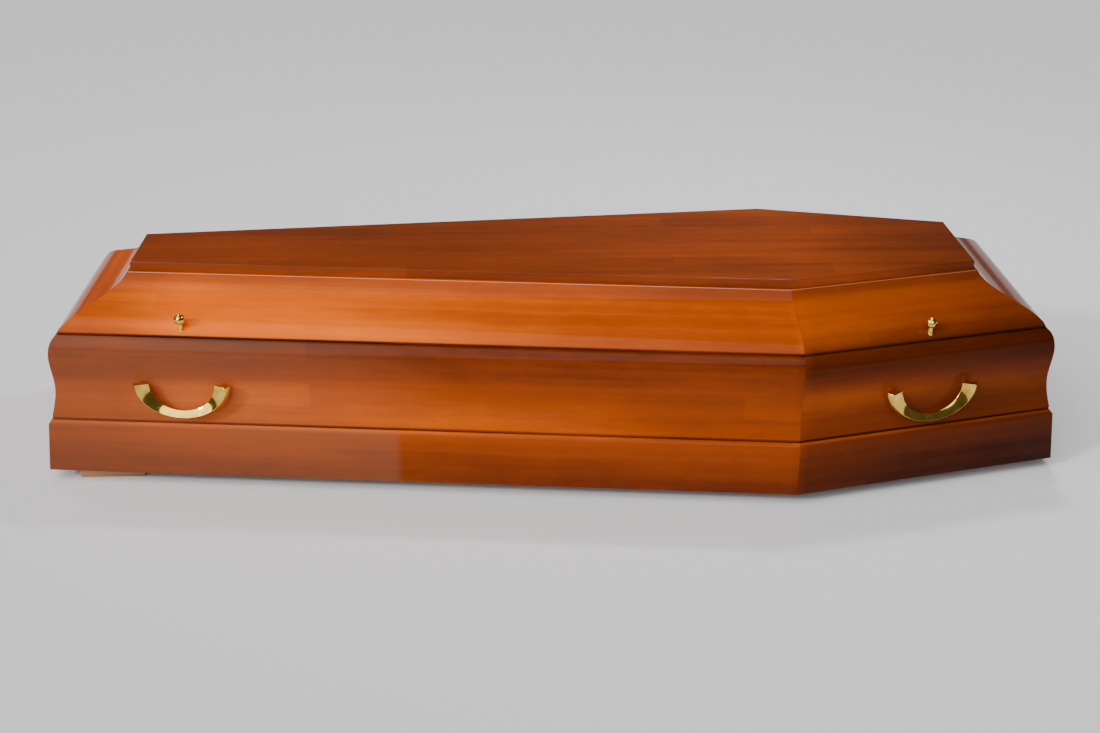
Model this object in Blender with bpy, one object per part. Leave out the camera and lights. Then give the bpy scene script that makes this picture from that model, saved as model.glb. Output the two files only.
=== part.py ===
"""A shouldered wooden coffin with ogee sides, closed by a raised lid.

Metres, +Z up. The head end is at +X and the foot end at -X. The origin is in the middle of
the length and of the width, on the floor that the two runners stand on.

The plan is a hexagon. Every board that goes round it is described by its section: points of
(inset, height), where inset is how far a point lies inside the outer edge of the plinth's
foot, and height is measured from the floor.
"""
import math

import bmesh
import bpy
from mathutils import Matrix, Vector

# The plan, over the foot of the plinth
LENGTH = 2.000
FOOT_WIDTH = 0.456
SHOULDER_WIDTH = 0.720
HEAD_WIDTH = 0.480
SHOULDER_FROM_FOOT = 1.459

# Pieces that touch keep this clearance
CLEARANCE = 0.0003

# Two runners under the plinth
RUNNER_THICKNESS = 0.023
RUNNER_WIDTH = 0.126
RUNNER_LENGTH = 0.438
RUNNER_FROM_END = 0.0545
RUNNER_EDGE = 0.002

# Plinth boards: their face leans in from foot to top and ends in a rounded nose
PLINTH_HEIGHT = 0.105
PLINTH_THICKNESS = 0.0325
PLINTH_LEAN = 0.0105
PLINTH_NOSE_HEIGHT = 0.0085
PLINTH_NOSE_DEPTH = 0.0095
PLINTH_FOOT_ROUND = 0.003

# Wall boards: a toe over the plinth, a long cove, a belly and a round rim under the lid.
# Depths are measured back from the toe, heights up from the top of the plinth.
WALL_HEIGHT = 0.171
WALL_THICKNESS = 0.0475
WALL_BACK_FROM_NOSE = 0.002
TOE_HEIGHT = 0.0070
COVE_DEPTH = 0.0119
COVE_HEIGHT = 0.073
BELLY_DEPTH = 0.0094
BELLY_HEIGHT = 0.126
RIM_DEPTH = 0.0298

FLOOR_THICKNESS = 0.018

# Lid mouldings: a short upright edge, then an ogee that starts and ends steeply
LID_EDGE_HEIGHT = 0.0050
LID_MOULDING_WIDTH = 0.116
LID_MOULDING_HEIGHT = 0.0825
OGEE_FOOT_PULL = (0.016, 0.031)
OGEE_TOP_PULL = (0.014, 0.035)
LID_SHELF_WIDTH = 0.030
LID_SHELF_THICKNESS = 0.019

# The flat board on top of the mouldings
LID_BOARD_THICKNESS = 0.018
LID_BOARD_SETBACK = 0.0065
LID_BOARD_EDGE = 0.003

# Bow handles, fixed: two posts and a bow whose ends are cut level. The bow's section is a
# low triangle with a ridge near its outer edge, and its middle stands out further.
HANDLE_FROM_FOOT = 0.2805
HANDLE_FROM_SHOULDER = 0.2690
HANDLE_END_HEIGHT = 0.2165
BOW_WIDTH = 0.190
BOW_DROP = 0.0695
BOW_END_BREADTH = 0.0318
BOW_MIDDLE_BREADTH = 0.0155
BOW_END_DEPTH = 0.0135
BOW_MIDDLE_DEPTH = 0.0090
BOW_LIP = 0.0022
BOW_RIDGE_SHARE = 0.75
BOW_STANDOFF = 0.0105
BOW_SWING = 0.008
POST_RADIUS = 0.0085
POST_BELOW_END = 0.009
POST_ROOT = 0.0035

# Lid screws: a flattened ball head on a flared stem, over a shank that goes through the lid
SCREW_FROM_EDGE = 0.0085
SCREW_BALL_RADIUS = 0.0117
SCREW_BALL_HALF_HEIGHT = 0.0100
SCREW_BALL_ABOVE_LID = 0.0200
SCREW_NIB_RADIUS = 0.0036
SCREW_NIB_HEIGHT = 0.0034
SCREW_NECK_RADIUS = 0.0045
SCREW_FLARE_RADIUS = 0.0058
SCREW_FLARE_HEIGHT = 0.0085
SCREW_STEM_BELOW = 0.012
SCREW_SHANK_RADIUS = 0.0030
SCREW_BITE = 0.030

# How finely curves are cut
COVE_STEPS = 9
BELLY_STEPS = 6
RIM_STEPS = 9
OGEE_STEPS = 16
BOW_STEPS = 24
ROUND_SIDES = 16
SHANK_SIDES = 12

# Boards are cut from bars that run past their mitres by this much
OVERRUN = 0.05

# Levels that follow from the sizes
PLINTH_BOTTOM = RUNNER_THICKNESS + CLEARANCE
PLINTH_TOP = PLINTH_BOTTOM + PLINTH_HEIGHT
WALL_SEAT = PLINTH_TOP + CLEARANCE
WALL_TOP = WALL_SEAT + WALL_HEIGHT
LID_BOTTOM = WALL_TOP + CLEARANCE
LID_SHELF = LID_BOTTOM + LID_MOULDING_HEIGHT
LID_BOARD_BOTTOM = LID_SHELF + CLEARANCE

# Insets that follow from the sizes
PLINTH_NOSE = PLINTH_LEAN + PLINTH_NOSE_DEPTH
WALL_TOE = PLINTH_NOSE - WALL_BACK_FROM_NOSE
WALL_BACK = WALL_TOE + WALL_THICKNESS
WALL_RIM = WALL_TOE + RIM_DEPTH
LID_CREST = WALL_RIM + LID_MOULDING_WIDTH
LID_SHELF_BACK = LID_CREST + LID_SHELF_WIDTH
LID_BOARD_INSET = LID_CREST + LID_BOARD_SETBACK
SCREW_INSET = WALL_RIM + SCREW_FROM_EDGE

# The plan's corners, counter-clockwise from the near foot corner, and the side after each
OUTLINE = [
    Vector((-LENGTH / 2, -FOOT_WIDTH / 2)),
    Vector((SHOULDER_FROM_FOOT - LENGTH / 2, -SHOULDER_WIDTH / 2)),
    Vector((LENGTH / 2, -HEAD_WIDTH / 2)),
    Vector((LENGTH / 2, HEAD_WIDTH / 2)),
    Vector((SHOULDER_FROM_FOOT - LENGTH / 2, SHOULDER_WIDTH / 2)),
    Vector((-LENGTH / 2, FOOT_WIDTH / 2)),
]
SIDES = ("left_side", "left_shoulder", "head", "right_shoulder", "right_side", "foot")

# Where handles and screws sit: the side, and how far along it from its first corner
LONG_SIDE = (OUTLINE[1] - OUTLINE[0]).length
SHORT_SIDE = (OUTLINE[2] - OUTLINE[1]).length
STATIONS = {
    "left_side": HANDLE_FROM_FOOT,
    "left_shoulder": HANDLE_FROM_SHOULDER,
    "right_shoulder": SHORT_SIDE - HANDLE_FROM_SHOULDER,
    "right_side": LONG_SIDE - HANDLE_FROM_FOOT,
}


def empty_the_scene():
    for thing in list(bpy.data.objects):
        bpy.data.objects.remove(thing, do_unlink=True)


def make_material(name, colour, roughness, metallic):
    material = bpy.data.materials.new(name)
    material.use_nodes = True
    shader = material.node_tree.nodes["Principled BSDF"]
    shader.inputs["Base Color"].default_value = (*colour, 1.0)
    shader.inputs["Roughness"].default_value = roughness
    shader.inputs["Metallic"].default_value = metallic
    return material


def mesh_from(bm, name):
    bmesh.ops.remove_doubles(bm, verts=bm.verts, dist=0.00001)
    bmesh.ops.recalc_face_normals(bm, faces=bm.faces)
    mesh = bpy.data.meshes.new(name)
    bm.to_mesh(mesh)
    bm.free()
    return mesh


def add_object(name, mesh, material=None):
    thing = bpy.data.objects.new(name, mesh)
    bpy.context.scene.collection.objects.link(thing)
    if material is not None:
        mesh.materials.clear()
        mesh.materials.append(material)
    return thing


def shade_round(mesh, angle_degrees=35):
    mesh.shade_smooth()
    mesh.set_sharp_from_angle(angle=math.radians(angle_degrees))


# The plan

def side_ends(side):
    index = SIDES.index(side)
    return OUTLINE[index], OUTLINE[(index + 1) % len(OUTLINE)]


def side_directions(side):
    """Unit vectors along a side and square to it, pointing into the plan."""
    start, end = side_ends(side)
    along = (end - start).normalized()
    return along, Vector((-along.y, along.x))


def mitre_normal(corner_index):
    """The horizontal normal of the mitre at a corner, pointing the way round the plan."""
    _, before = side_directions(SIDES[corner_index - 1])
    _, after = side_directions(SIDES[corner_index])
    bisector = (before + after).normalized()
    return Vector((bisector.y, -bisector.x, 0.0))


def plan_corners(inset):
    """The six corners of the outline moved in by an even inset."""
    corners = []
    for index, corner in enumerate(OUTLINE):
        _, before = side_directions(SIDES[index - 1])
        _, after = side_directions(SIDES[index])
        bisector = (before + after).normalized()
        corners.append(corner + bisector * (inset / bisector.dot(after)))
    return corners


def place_on_side(thing, side, station, inset, height):
    """Local +X runs along the side, local -Y points out of it."""
    start, _ = side_ends(side)
    along, inward = side_directions(side)
    spot = start + along * station + inward * inset
    thing.location = (spot.x, spot.y, height)
    thing.rotation_euler = (0.0, 0.0, math.atan2(along.y, along.x))


# Sections of the boards

def ease_between(low, high, share):
    """From low to high, flat at both ends."""
    return low + (high - low) * (1.0 - math.cos(math.pi * share)) / 2.0


def plinth_section():
    points = [
        (PLINTH_THICKNESS, PLINTH_BOTTOM),
        (PLINTH_FOOT_ROUND, PLINTH_BOTTOM),
        (0.0, PLINTH_BOTTOM + PLINTH_FOOT_ROUND),
    ]
    nose_steps = 4
    for step in range(nose_steps + 1):
        turn = math.radians(90.0) * step / nose_steps
        inset = PLINTH_NOSE - PLINTH_NOSE_DEPTH * math.cos(turn)
        height = PLINTH_TOP - PLINTH_NOSE_HEIGHT * (1.0 - math.sin(turn))
        points.append((inset, height))
    points.append((PLINTH_THICKNESS, PLINTH_TOP))
    return points


def wall_face_inset(height):
    """How far in the wall's outer face lies at a height between the toe and the belly."""
    above = height - WALL_SEAT
    if above < COVE_HEIGHT:
        share = (above - TOE_HEIGHT) / (COVE_HEIGHT - TOE_HEIGHT)
        return WALL_TOE + COVE_DEPTH * math.sin(math.pi / 2 * share)
    share = (above - COVE_HEIGHT) / (BELLY_HEIGHT - COVE_HEIGHT)
    return WALL_TOE + ease_between(COVE_DEPTH, BELLY_DEPTH, share)


def wall_section():
    points = [
        (WALL_BACK, PLINTH_BOTTOM),
        (PLINTH_THICKNESS + CLEARANCE, PLINTH_BOTTOM),
        (PLINTH_THICKNESS + CLEARANCE, WALL_SEAT),
        (PLINTH_NOSE, WALL_SEAT),
    ]
    for step in range(COVE_STEPS):
        height = WALL_SEAT + TOE_HEIGHT + (COVE_HEIGHT - TOE_HEIGHT) * step / COVE_STEPS
        points.append((wall_face_inset(height), height))
    for step in range(BELLY_STEPS):
        height = WALL_SEAT + COVE_HEIGHT + (BELLY_HEIGHT - COVE_HEIGHT) * step / BELLY_STEPS
        points.append((wall_face_inset(height), height))
    belly = WALL_TOE + BELLY_DEPTH
    for step in range(RIM_STEPS + 1):
        turn = math.radians(90.0) * step / RIM_STEPS
        inset = WALL_RIM - (WALL_RIM - belly) * math.cos(turn)
        height = WALL_SEAT + BELLY_HEIGHT + (WALL_HEIGHT - BELLY_HEIGHT) * math.sin(turn)
        points.append((inset, height))
    points.append((WALL_BACK, WALL_TOP))
    return points


def ogee_point(share):
    """A point of the lid's ogee: a Bezier curve, pulled steeply up at its foot and its top."""
    foot = Vector((WALL_RIM, LID_BOTTOM + LID_EDGE_HEIGHT))
    crest = Vector((LID_CREST, LID_SHELF))
    foot_pull = foot + Vector(OGEE_FOOT_PULL)
    crest_pull = crest - Vector(OGEE_TOP_PULL)
    rest = 1.0 - share
    return (foot * rest ** 3 + foot_pull * (3 * rest ** 2 * share)
            + crest_pull * (3 * rest * share ** 2) + crest * share ** 3)


def lid_section():
    points = [(WALL_BACK, LID_BOTTOM), (WALL_RIM, LID_BOTTOM)]
    for step in range(OGEE_STEPS + 1):
        point = ogee_point(step / OGEE_STEPS)
        points.append((point.x, point.y))
    points.append((LID_SHELF_BACK, LID_SHELF))
    points.append((LID_SHELF_BACK, LID_SHELF - LID_SHELF_THICKNESS))
    return points


# Makers of boards

def mitred_board(name, section, side, material):
    """A bar of the section laid along a side, then cut at the mitre of each corner."""
    index = SIDES.index(side)
    start, end = side_ends(side)
    along, inward = side_directions(side)
    bm = bmesh.new()
    verts = []
    for inset, height in section:
        spot = start - along * OVERRUN + inward * inset
        verts.append(bm.verts.new((spot.x, spot.y, height)))
    face = bm.faces.new(verts)
    bar = bmesh.ops.extrude_face_region(bm, geom=[face])["geom"]
    run = along * ((end - start).length + 2 * OVERRUN)
    moved = [item for item in bar if isinstance(item, bmesh.types.BMVert)]
    bmesh.ops.translate(bm, verts=moved, vec=(run.x, run.y, 0.0))
    cuts = (
        (start, -mitre_normal(index)),
        (end, mitre_normal((index + 1) % len(OUTLINE))),
    )
    for corner, outward in cuts:
        point = Vector((corner.x, corner.y, 0.0)) - outward * (CLEARANCE / 2)
        geometry = bm.verts[:] + bm.edges[:] + bm.faces[:]
        bmesh.ops.bisect_plane(bm, geom=geometry, plane_co=point, plane_no=outward,
                               clear_outer=True)
        rim = [edge for edge in bm.edges if edge.is_boundary]
        bmesh.ops.holes_fill(bm, edges=rim, sides=0)
    mesh = mesh_from(bm, name)
    shade_round(mesh)
    return add_object(name, mesh, material)


def plan_board(name, inset, bottom, thickness, edge, material):
    """A flat board of the plan's shape, with its upper edges eased."""
    bm = bmesh.new()
    verts = [bm.verts.new((corner.x, corner.y, bottom)) for corner in plan_corners(inset)]
    face = bm.faces.new(verts)
    block = bmesh.ops.extrude_face_region(bm, geom=[face])["geom"]
    raised = [item for item in block if isinstance(item, bmesh.types.BMVert)]
    bmesh.ops.translate(bm, verts=raised, vec=(0.0, 0.0, thickness))
    if edge > 0.0:
        upper = [e for e in bm.edges if all(v in raised for v in e.verts)]
        bmesh.ops.bevel(bm, geom=upper, offset=edge, affect="EDGES", segments=3, profile=0.5,
                        material=-1)
    return add_object(name, mesh_from(bm, name), material)


def runner(name, middle, material):
    bm = bmesh.new()
    bmesh.ops.create_cube(bm, size=1.0)
    bmesh.ops.scale(bm, verts=bm.verts, vec=(RUNNER_WIDTH, RUNNER_LENGTH, RUNNER_THICKNESS))
    bmesh.ops.bevel(bm, geom=bm.edges[:], offset=RUNNER_EDGE, affect="EDGES", segments=1,
                    profile=0.5, material=-1)
    thing = add_object(name, mesh_from(bm, name), material)
    thing.location = (middle, 0.0, RUNNER_THICKNESS / 2)
    return thing


def round_bar(name, radius, sides, low, high):
    """A closed bar along local Z, from low to high."""
    bm = bmesh.new()
    bmesh.ops.create_cone(bm, cap_ends=True, segments=sides, radius1=radius, radius2=radius,
                          depth=high - low)
    bmesh.ops.translate(bm, verts=bm.verts, vec=(0.0, 0.0, (high + low) / 2))
    return add_object(name, mesh_from(bm, name))


def melt_together(name, body, others):
    """One mesh of a body and the pieces that are cast or turned with it."""
    for other in others:
        union = body.modifiers.new("with " + other.name, "BOOLEAN")
        union.operation = "UNION"
        union.solver = "EXACT"
        union.object = other
    graph = bpy.context.evaluated_depsgraph_get()
    mesh = bpy.data.meshes.new_from_object(body.evaluated_get(graph))
    mesh.name = name
    for used in [body] + others:
        bpy.data.objects.remove(used, do_unlink=True)
    shade_round(mesh)
    return mesh


# Handles

def post_height():
    return HANDLE_END_HEIGHT - POST_BELOW_END


def post_seat_inset():
    """The proudest bit of wall that a post's foot covers."""
    low = wall_face_inset(post_height() - POST_RADIUS)
    high = wall_face_inset(post_height() + POST_RADIUS)
    return min(low, high)


def bow_solid():
    """The bow, with its posts' wall end at local y=0 and its ends cut level at local z=0."""
    outer = (BOW_WIDTH / 2, BOW_DROP)
    inner = (BOW_WIDTH / 2 - BOW_END_BREADTH, BOW_DROP - BOW_MIDDLE_BREADTH)
    section = (
        (0.0, 0.0),
        (0.0, BOW_LIP),
        (BOW_RIDGE_SHARE, BOW_END_DEPTH),
        (1.0, BOW_LIP),
        (1.0, 0.0),
    )
    bm = bmesh.new()
    verts = [bm.verts.new((1.0 + across, -depth, 0.0)) for across, depth in section]
    face = bm.faces.new(verts)
    bmesh.ops.spin(bm, geom=[face], cent=(0.0, 0.0, 0.0), axis=(0.0, 1.0, 0.0),
                   angle=math.radians(180.0), steps=BOW_STEPS, use_merge=False)
    bmesh.ops.remove_doubles(bm, verts=bm.verts, dist=0.00001)
    for vert in bm.verts:
        turn = math.atan2(abs(vert.co.z), vert.co.x)
        across = math.hypot(vert.co.x, vert.co.z) - 1.0
        reach = inner[0] + (outer[0] - inner[0]) * across
        drop = (inner[1] + (outer[1] - inner[1]) * across) * math.sin(turn)
        thinning = 1.0 - (1.0 - BOW_MIDDLE_DEPTH / BOW_END_DEPTH) * math.sin(turn)
        vert.co.x = reach * math.cos(turn)
        vert.co.y = vert.co.y * thinning - BOW_STANDOFF - BOW_SWING * drop / BOW_DROP
        vert.co.z = -drop
    return add_object("bow", mesh_from(bm, "bow"))


def handle_mesh():
    """A bow and its two posts, cast in one."""
    posts = []
    post_reach = BOW_WIDTH / 2 - BOW_END_BREADTH / 2
    for side_sign in (-1.0, 1.0):
        post = round_bar("post", POST_RADIUS, ROUND_SIDES, 0.0, BOW_STANDOFF + POST_ROOT)
        turn = Matrix.Rotation(math.radians(90.0), 4, "X")
        shift = Matrix.Translation((side_sign * post_reach, 0.0, -POST_BELOW_END))
        post.data.transform(shift @ turn)
        posts.append(post)
    return melt_together("handle", bow_solid(), posts)


# Lid screws

def ogee_at_inset(inset):
    """The ogee's height and slope angle at an inset."""
    low = 0.0
    high = 1.0
    for _ in range(40):
        middle = (low + high) / 2
        if ogee_point(middle).x < inset:
            low = middle
        else:
            high = middle
    step = 0.001
    rise = ogee_point(low + step) - ogee_point(low - step)
    return ogee_point(low).y, math.atan2(rise.y, rise.x)


def screw_profile():
    """Radius and height from the lid's surface, bottom to top, of the turned head."""
    ball = SCREW_BALL_ABOVE_LID
    points = [(0.0, -SCREW_STEM_BELOW), (SCREW_FLARE_RADIUS, -SCREW_STEM_BELOW),
              (SCREW_FLARE_RADIUS, 0.0)]
    flare_steps = 4
    for step in range(1, flare_steps + 1):
        turn = math.radians(90.0) * step / flare_steps
        spread = (SCREW_FLARE_RADIUS - SCREW_NECK_RADIUS) * (1.0 - math.sin(turn))
        points.append((SCREW_NECK_RADIUS + spread, SCREW_FLARE_HEIGHT * (1.0 - math.cos(turn))))
    low_turn = -math.acos(SCREW_NECK_RADIUS / SCREW_BALL_RADIUS)
    high_turn = math.acos(SCREW_NIB_RADIUS / SCREW_BALL_RADIUS)
    nib_foot = SCREW_BALL_HALF_HEIGHT * math.sin(high_turn)
    ball_steps = 10
    for step in range(ball_steps + 1):
        turn = low_turn + (high_turn - low_turn) * step / ball_steps
        points.append((SCREW_BALL_RADIUS * math.cos(turn),
                       ball + SCREW_BALL_HALF_HEIGHT * math.sin(turn)))
    nib_steps = 3
    for step in range(1, nib_steps + 1):
        turn = math.radians(90.0) * step / nib_steps
        points.append((SCREW_NIB_RADIUS * math.cos(turn),
                       ball + nib_foot + SCREW_NIB_HEIGHT * math.sin(turn)))
    return points


def screw_mesh():
    """A head that is cut off along the lid's slope, and the shank under it."""
    _, slope = ogee_at_inset(SCREW_INSET)
    bm = bmesh.new()
    profile = [bm.verts.new((max(radius, 0.0), 0.0, height)) for radius, height in screw_profile()]
    edges = [bm.edges.new(pair) for pair in zip(profile, profile[1:])]
    bmesh.ops.spin(bm, geom=profile + edges, cent=(0.0, 0.0, 0.0), axis=(0.0, 0.0, 1.0),
                   angle=math.radians(360.0), steps=ROUND_SIDES, use_merge=True)
    bmesh.ops.remove_doubles(bm, verts=bm.verts, dist=0.00001)
    bmesh.ops.recalc_face_normals(bm, faces=bm.faces)
    down_the_slope = Vector((0.0, math.sin(slope), -math.cos(slope)))
    bmesh.ops.bisect_plane(bm, geom=bm.verts[:] + bm.edges[:] + bm.faces[:],
                           plane_co=-down_the_slope * CLEARANCE, plane_no=down_the_slope,
                           clear_outer=True)
    bmesh.ops.holes_fill(bm, edges=[e for e in bm.edges if e.is_boundary], sides=0)
    head = add_object("screw head", mesh_from(bm, "screw head"))
    surface, _ = ogee_at_inset(SCREW_INSET)
    tip = WALL_TOP - SCREW_BITE - surface
    shank = round_bar("shank", SCREW_SHANK_RADIUS, SHANK_SIDES, tip, SCREW_BALL_ABOVE_LID / 2)
    return melt_together("screw", head, [shank])


def drill_for_screw(side, boards):
    """A hole through the lid and into the wall, a clearance wider than the shank."""
    tip = WALL_TOP - SCREW_BITE - CLEARANCE
    drill = round_bar("drill_" + side, SCREW_SHANK_RADIUS + CLEARANCE, SHANK_SIDES,
                      tip, LID_SHELF)
    place_on_side(drill, side, STATIONS[side], SCREW_INSET, 0.0)
    drill.hide_render = True
    drill.display_type = "WIRE"
    for board in boards:
        hole = board.modifiers.new("screw hole", "BOOLEAN")
        hole.operation = "DIFFERENCE"
        hole.solver = "EXACT"
        hole.object = drill


def build():
    empty_the_scene()
    lacquer = make_material("lacquered_wood", (0.45, 0.12, 0.02), 0.12, 0.0)
    plain = make_material("plain_wood", (0.40, 0.20, 0.09), 0.55, 0.0)
    brass = make_material("polished_brass", (0.80, 0.60, 0.24), 0.15, 1.0)

    runner_middle = LENGTH / 2 - RUNNER_FROM_END - RUNNER_WIDTH / 2
    runner("runner_foot", -runner_middle, plain)
    runner("runner_head", runner_middle, plain)
    plan_board("floor", WALL_BACK + CLEARANCE, PLINTH_BOTTOM, FLOOR_THICKNESS, 0.0, plain)

    for side in SIDES:
        mitred_board("plinth_" + side, plinth_section(), side, lacquer)
        wall = mitred_board("wall_" + side, wall_section(), side, lacquer)
        lid = mitred_board("lid_" + side, lid_section(), side, lacquer)
        if side in STATIONS:
            drill_for_screw(side, [wall, lid])

    plan_board("lid_board", LID_BOARD_INSET, LID_BOARD_BOTTOM, LID_BOARD_THICKNESS,
               LID_BOARD_EDGE, lacquer)

    handle = handle_mesh()
    screw = screw_mesh()
    lid_surface, _ = ogee_at_inset(SCREW_INSET)
    for side, station in STATIONS.items():
        bow = add_object("handle_" + side, handle, brass)
        place_on_side(bow, side, station, post_seat_inset() - CLEARANCE, HANDLE_END_HEIGHT)
        pin = add_object("screw_" + side, screw, brass)
        place_on_side(pin, side, station, SCREW_INSET, lid_surface)


build()
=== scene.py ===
import math

import bmesh
import bpy
from mathutils import Matrix, Vector


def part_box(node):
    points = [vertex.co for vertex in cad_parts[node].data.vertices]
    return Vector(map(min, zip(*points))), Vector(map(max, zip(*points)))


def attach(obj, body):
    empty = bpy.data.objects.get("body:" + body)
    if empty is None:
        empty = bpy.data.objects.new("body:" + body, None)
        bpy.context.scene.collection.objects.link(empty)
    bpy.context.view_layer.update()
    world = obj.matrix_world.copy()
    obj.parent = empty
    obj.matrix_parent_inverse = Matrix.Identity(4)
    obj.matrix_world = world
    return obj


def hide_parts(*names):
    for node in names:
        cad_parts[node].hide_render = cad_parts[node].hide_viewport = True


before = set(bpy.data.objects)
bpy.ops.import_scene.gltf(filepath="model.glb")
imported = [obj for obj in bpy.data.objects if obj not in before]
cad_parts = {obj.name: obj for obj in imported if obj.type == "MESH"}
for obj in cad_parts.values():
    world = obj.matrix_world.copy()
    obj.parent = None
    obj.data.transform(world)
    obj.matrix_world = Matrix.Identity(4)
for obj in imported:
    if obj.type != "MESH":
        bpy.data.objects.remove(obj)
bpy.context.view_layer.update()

# The coffin's sizes, in metres: +X is the head end, the floor is at height 0.
# An inset is how far a point lies inside the outer edge of the plinth's foot.

LENGTH = 2.000
FOOT_WIDTH = 0.456
SHOULDER_WIDTH = 0.720
HEAD_WIDTH = 0.480
SHOULDER_FROM_FOOT = 1.459
CLEARANCE = 0.0003

PLINTH_BOTTOM = 0.0233
PLINTH_TOP = 0.1283
PLINTH_THICKNESS = 0.0325
PLINTH_LEAN = 0.0105
PLINTH_NOSE_HEIGHT = 0.0085
PLINTH_NOSE_DEPTH = 0.0095
PLINTH_FOOT_ROUND = 0.003

WALL_SEAT = PLINTH_TOP + CLEARANCE
WALL_HEIGHT = 0.171
WALL_TOE = 0.0180
WALL_BACK = 0.0655
WALL_RIM = 0.0478
TOE_HEIGHT = 0.0070
COVE_DEPTH = 0.0119
COVE_HEIGHT = 0.073
BELLY_DEPTH = 0.0094
BELLY_HEIGHT = 0.126
WALL_TOP = WALL_SEAT + WALL_HEIGHT

LID_BOTTOM = WALL_TOP + CLEARANCE
LID_EDGE_HEIGHT = 0.0050
LID_SHELF = LID_BOTTOM + 0.0825
LID_CREST = WALL_RIM + 0.116
LID_SHELF_BACK = LID_CREST + 0.030
LID_SHELF_THICKNESS = 0.019
OGEE_FOOT_PULL = (0.016, 0.031)
OGEE_TOP_PULL = (0.014, 0.035)

LID_BOARD_INSET = LID_CREST + 0.0065
LID_BOARD_BOTTOM = LID_SHELF + CLEARANCE
LID_BOARD_TOP = LID_BOARD_BOTTOM + 0.018

HANDLE_FROM_FOOT = 0.2805
HANDLE_FROM_SHOULDER = 0.2690
HANDLE_END_HEIGHT = 0.2165
BOW_WIDTH = 0.190
BOW_DROP = 0.0695
BOW_END_BREADTH = 0.0318
BOW_MIDDLE_BREADTH = 0.0155
BOW_END_DEPTH = 0.0135
BOW_MIDDLE_DEPTH = 0.0090
BOW_LIP = 0.0022
BOW_RIDGE_SHARE = 0.75
BOW_STANDOFF = 0.0105
BOW_SWING = 0.008
POST_RADIUS = 0.0085
POST_BELOW_END = 0.009
POST_ROOT = 0.0035

SCREW_INSET = WALL_RIM + 0.0085
SCREW_BALL_RADIUS = 0.0117
SCREW_BALL_HALF_HEIGHT = 0.0100
SCREW_BALL_ABOVE_LID = 0.0200
SCREW_NIB_RADIUS = 0.0036
SCREW_NIB_HEIGHT = 0.0034
SCREW_NECK_RADIUS = 0.0045
SCREW_FLARE_RADIUS = 0.0058
SCREW_FLARE_HEIGHT = 0.0085
SCREW_STEM_BELOW = 0.012
SCREW_DIMPLES = 6
SCREW_DIMPLE_DEPTH = 0.0011

OUTLINE = [
    Vector((-LENGTH / 2, -FOOT_WIDTH / 2)),
    Vector((SHOULDER_FROM_FOOT - LENGTH / 2, -SHOULDER_WIDTH / 2)),
    Vector((LENGTH / 2, -HEAD_WIDTH / 2)),
    Vector((LENGTH / 2, HEAD_WIDTH / 2)),
    Vector((SHOULDER_FROM_FOOT - LENGTH / 2, SHOULDER_WIDTH / 2)),
    Vector((-LENGTH / 2, FOOT_WIDTH / 2)),
]
SIDES = ("left_side", "left_shoulder", "head", "right_shoulder", "right_side", "foot")
LONG_SIDE = (OUTLINE[1] - OUTLINE[0]).length
SHORT_SIDE = (OUTLINE[2] - OUTLINE[1]).length
STATIONS = {
    "left_side": HANDLE_FROM_FOOT,
    "left_shoulder": HANDLE_FROM_SHOULDER,
    "right_shoulder": SHORT_SIDE - HANDLE_FROM_SHOULDER,
    "right_side": LONG_SIDE - HANDLE_FROM_FOOT,
}

# Finish of the joinery and of the brass: how far edges are eased, and how far a bar is cut
# too long before it is mitred
ARRIS = 0.0007
BRASS_EDGE = 0.0007
LID_BOARD_EDGE = 0.003
BAR_OVERRUN = 0.05

# Staves that the boards are glued up from, and where in the grain each board starts
STAVE_LENGTH = 0.83
STAVE_WIDTH = 0.049
STAVE_STAGGER = 0.37
MITRED_GRAIN_STEP = 3.7
FLAT_GRAIN_START = {"lid_board": 31.0, "runner_foot": 41.0, "runner_head": 45.0, "floor": 51.0}

# Tints that are laid over the lacquer, and how strongly
AMBER_TINT = (0.94, 0.84, 0.12, 1.0)
AMBER_STRENGTH = 0.8
BROWN_TINT = (0.26, 0.125, 0.075, 1.0)
BROWN_STRENGTH = 0.27
FLAT_BROWN_SHARE = 0.3
# A pale pink painted highlight laid on the upward eased edges, dimmed with the painted shade, and
# how strongly
PAINTED_HIGHLIGHT_TINT = (1.0, 0.42, 0.36, 1.0)
PAINTED_HIGHLIGHT_STRENGTH = 0.62

# The studio
FLOOR_PAINT = (0.735, 0.735, 0.735, 1.0)
AMBIENT_TINT = (1.0, 0.97, 1.0, 1.0)
AMBIENT_STRENGTH = 0.10

# How light the lacquer is up a board, as (height, tone) from 0, dark, to 1, light. The tones are
# partly sprayed lacquer and partly painted light, shade and reflection, such as the dark band
# under the rim and the darker short sides.
LONG_PLINTH_TONES = ((0.023, 0.22), (0.050, 0.31), (0.085, 0.41), (0.115, 0.47), (0.125, 0.48),
                     (0.128, 0.90))
LONG_WALL_TONES = ((0.134, 0.04), (0.136, 0.66), (0.150, 0.68), (0.175, 0.67), (0.197, 0.60),
                   (0.220, 0.46), (0.240, 0.31), (0.256, 0.23), (0.285, 0.17), (0.299, 0.10))
LONG_LID_TONES = ((0.304, 0.00), (0.306, 0.86), (0.318, 0.94), (0.335, 0.82), (0.352, 0.78),
                  (0.366, 0.66), (0.378, 0.62), (0.383, 0.58))
SHORT_PLINTH_TONES = ((0.023, 0.10), (0.050, 0.15), (0.085, 0.24), (0.115, 0.32), (0.125, 0.36),
                      (0.128, 0.75))
SHORT_WALL_TONES = ((0.134, 0.04), (0.136, 0.46), (0.160, 0.48), (0.185, 0.58), (0.210, 0.70),
                    (0.232, 0.60), (0.250, 0.34), (0.270, 0.22), (0.299, 0.16))
SHORT_LID_TONES = ((0.304, 0.00), (0.306, 0.38), (0.318, 0.54), (0.335, 0.76), (0.352, 0.74),
                   (0.366, 0.66), (0.383, 0.60))
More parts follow.
